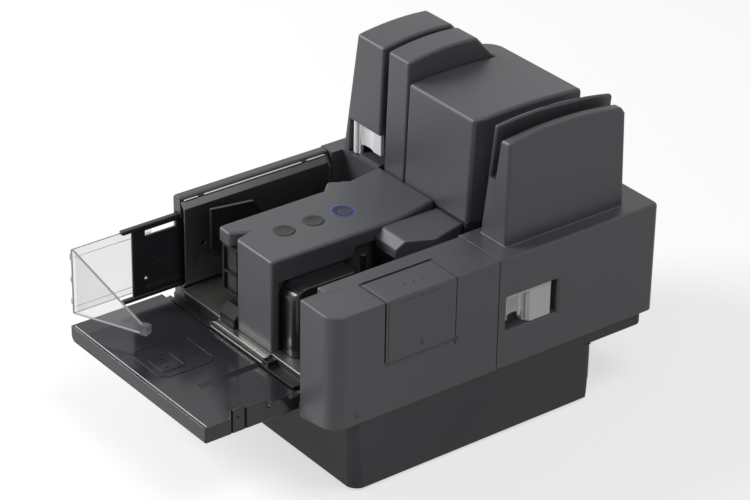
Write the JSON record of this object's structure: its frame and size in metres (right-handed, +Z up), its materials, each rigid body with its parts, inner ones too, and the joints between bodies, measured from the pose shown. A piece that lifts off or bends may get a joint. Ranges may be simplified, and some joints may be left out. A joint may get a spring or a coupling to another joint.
{
  "type": "cheque scanner",
  "caption": "Desktop cheque scanner with a U-shaped track, crowned towers, a card slot, open document hopper, fold-down tray, sliding end guides and a hinged side hatch.",
  "frame": {"origin": "centre of the bounding box at the underside of the rubber feet, on the surface the scanner stands on", "axes": "+Z up, +Y toward the rear of the scanner, +X toward the side with the document pocket and the hatch"},
  "size_m": [0.264, 0.4494, 0.3034],
  "materials": {
    "housing_plastic": "fine grained, matt charcoal",
    "dark_plastic": "matt black",
    "black_gloss": "smooth black",
    "tray_plastic": "semi-gloss charcoal",
    "button_plastic": "satin",
    "light_ring": "translucent blue",
    "lever_plastic": "satin off-white",
    "clear_plastic": "clear moulded plastic",
    "scan_glass": "clear glass",
    "floor_steel": "brushed",
    "pin_steel": "turned or plated",
    "circuit_board": "green solder mask",
    "cartridge_plastic": "satin",
    "foot_rubber": "matt",
    "roller_rubber": "matt"
  },
  "bodies": {
    "body": {"base_housing": "housing_plastic", "base_cover": "dark_plastic", "rubber_feet": "foot_rubber", "base_screws": "pin_steel", "drive_motor": "pin_steel", "control_board": "circuit_board", "transport_deck": "dark_plastic", "hopper_floor": "floor_steel", "pocket_floor": "floor_steel", "front_sill": "black_gloss", "left_wall_cover": "housing_plastic", "hopper_liner": "floor_steel", "liner_strip": "floor_steel", "feed_core": "housing_plastic", "separator_post": "black_gloss", "panel_cover": "housing_plastic", "light_ring": "light_ring", "button_board": "circuit_board", "ramp_block": "housing_plastic", "pocket_guide": "black_gloss", "pocket_post": "floor_steel", "front_cover": "housing_plastic", "cartridge_holder": "dark_plastic", "imprint_cartridge": "cartridge_plastic", "track_core": "dark_plastic", "strip_cover": "housing_plastic", "centre_cover": "housing_plastic", "rear_cover": "housing_plastic", "power_inlet": "dark_plastic", "data_socket": "pin_steel", "magnetic_head": "pin_steel", "hinge_pins": "pin_steel", "drive_belt": "foot_rubber", "pusher_rod": "pin_steel", "tray_pins": "pin_steel"},
    "button_a": {"front_button": "button_plastic"},
    "button_b": {"middle_button": "button_plastic"},
    "button_c": {"power_button": "button_plastic"},
    "hatch": {"hatch": "housing_plastic"},
    "left_carriage": {"left_carriage": "housing_plastic", "left_scan_window": "scan_glass"},
    "left_lever": {"left_lever": "lever_plastic"},
    "right_carriage": {"right_carriage": "housing_plastic", "right_scan_window": "scan_glass"},
    "right_lever": {"right_lever": "lever_plastic"},
    "motor_shaft": {"motor_pulley": "pin_steel"},
    "pickup": {"pickup_roller": "roller_rubber"},
    "feed": {"feed_roller": "roller_rubber"},
    "left_turn": {"left_turn_roller": "roller_rubber"},
    "right_turn": {"right_turn_roller": "roller_rubber"},
    "exit": {"exit_roller": "roller_rubber"},
    "retard": {"retard_roller": "roller_rubber"},
    "left_pinch": {"left_pinch_roller": "roller_rubber"},
    "right_pinch": {"right_pinch_roller": "roller_rubber"},
    "exit_pinch": {"exit_pinch_roller": "roller_rubber"},
    "pusher": {"pusher": "dark_plastic"},
    "tray": {"tray_cover": "tray_plastic", "tray_plate": "dark_plastic"},
    "guide": {"guide_plate": "dark_plastic"},
    "clear_guide": {"clear_guide": "clear_plastic"}
  },
  "joints": [
    {"name": "front_button_press", "type": "slide", "parent": "body", "child": "button_a", "axis": [0, 0, -1], "range_m": [0, 0.0009], "stiffness_N_per_m": 500, "springref_m": -0.0006},
    {"name": "middle_button_press", "type": "slide", "parent": "body", "child": "button_b", "axis": [0, 0, -1], "range_m": [0, 0.0009], "stiffness_N_per_m": 500, "springref_m": -0.0006},
    {"name": "power_button_press", "type": "slide", "parent": "body", "child": "button_c", "axis": [0, 0, -1], "range_m": [0, 0.0009], "stiffness_N_per_m": 500, "springref_m": -0.0006},
    {"name": "hatch_hinge", "type": "hinge", "parent": "body", "child": "hatch", "pos_m": [0.0971, -0.04025, 0.1768], "axis": [0, -1, 0], "range_deg": [0, 100]},
    {"name": "left_carriage_hinge", "type": "hinge", "parent": "body", "child": "left_carriage", "pos_m": [-0.0729, 0.21575, 0.1], "axis": [0, 0, -1], "range_deg": [0, 30]},
    {"name": "right_carriage_hinge", "type": "hinge", "parent": "body", "child": "right_carriage", "pos_m": [0.0821, 0.21575, 0.1], "axis": [0, 0, 1], "range_deg": [0, 30]},
    {"name": "left_lever_press", "type": "hinge", "parent": "left_carriage", "child": "left_lever", "pos_m": [-0.10215, 0.06805, 0.195], "axis": [0, 0, 1], "range_deg": [0, 14], "stiffness_Nm_per_rad": 0.3, "springref_deg": -5.73},
    {"name": "right_lever_slide", "type": "slide", "parent": "right_carriage", "child": "right_lever", "axis": [0, 1, 0], "range_m": [0, 0.006], "stiffness_N_per_m": 150, "springref_m": -0.002},
    {"name": "motor_spin", "type": "hinge", "parent": "body", "child": "motor_shaft", "pos_m": [-0.05125, 0.02665, 0.1012], "axis": [0, 0, 1], "continuous": true},
    {"name": "pickup_spin", "type": "hinge", "parent": "body", "child": "pickup", "pos_m": [-0.05125, -0.02285, 0.1012], "axis": [0, 0, 1], "continuous": true},
    {"name": "feed_spin", "type": "hinge", "parent": "body", "child": "feed", "pos_m": [-0.05125, 0.07615, 0.1012], "axis": [0, 0, 1], "continuous": true},
    {"name": "left_turn_spin", "type": "hinge", "parent": "body", "child": "left_turn", "pos_m": [-0.05125, 0.14995, 0.1012], "axis": [0, 0, 1], "continuous": true},
    {"name": "right_turn_spin", "type": "hinge", "parent": "body", "child": "right_turn", "pos_m": [0.06045, 0.14995, 0.1012], "axis": [0, 0, 1], "continuous": true},
    {"name": "exit_spin", "type": "hinge", "parent": "body", "child": "exit", "pos_m": [0.06045, 0.07615, 0.1012], "axis": [0, 0, 1], "continuous": true},
    {"name": "retard_spin", "type": "hinge", "parent": "left_carriage", "child": "retard", "pos_m": [-0.06755, 0.07615, 0.1012], "axis": [0, 0, 1], "continuous": true},
    {"name": "left_pinch_spin", "type": "hinge", "parent": "left_carriage", "child": "left_pinch", "pos_m": [-0.06755, 0.14995, 0.1012], "axis": [0, 0, 1], "continuous": true},
    {"name": "right_pinch_spin", "type": "hinge", "parent": "right_carriage", "child": "right_pinch", "pos_m": [0.07675, 0.14995, 0.1012], "axis": [0, 0, 1], "continuous": true},
    {"name": "exit_pinch_spin", "type": "hinge", "parent": "right_carriage", "child": "exit_pinch", "pos_m": [0.07675, 0.07615, 0.1012], "axis": [0, 0, 1], "continuous": true},
    {"name": "pusher_slide", "type": "slide", "parent": "body", "child": "pusher", "axis": [1, 0, 0], "range_m": [0, 0.032]},
    {"name": "tray_fold", "type": "hinge", "parent": "body", "child": "tray", "pos_m": [-0.027, -0.12265, 0.0763], "axis": [-1, 0, 0], "range_deg": [0, 5]},
    {"name": "guide_slide", "type": "slide", "parent": "body", "child": "guide", "axis": [0, 1, 0], "range_m": [0, 0.06]},
    {"name": "clear_guide_slide", "type": "slide", "parent": "guide", "child": "clear_guide", "axis": [0, 1, 0], "range_m": [0, 0.04]}
  ],
  "couplings": [
    {"joint": "pickup_spin", "follows": "motor_spin", "ratio": 1},
    {"joint": "feed_spin", "follows": "motor_spin", "ratio": 1},
    {"joint": "left_turn_spin", "follows": "motor_spin", "ratio": 1},
    {"joint": "right_turn_spin", "follows": "motor_spin", "ratio": 1},
    {"joint": "exit_spin", "follows": "motor_spin", "ratio": 1}
  ]
}
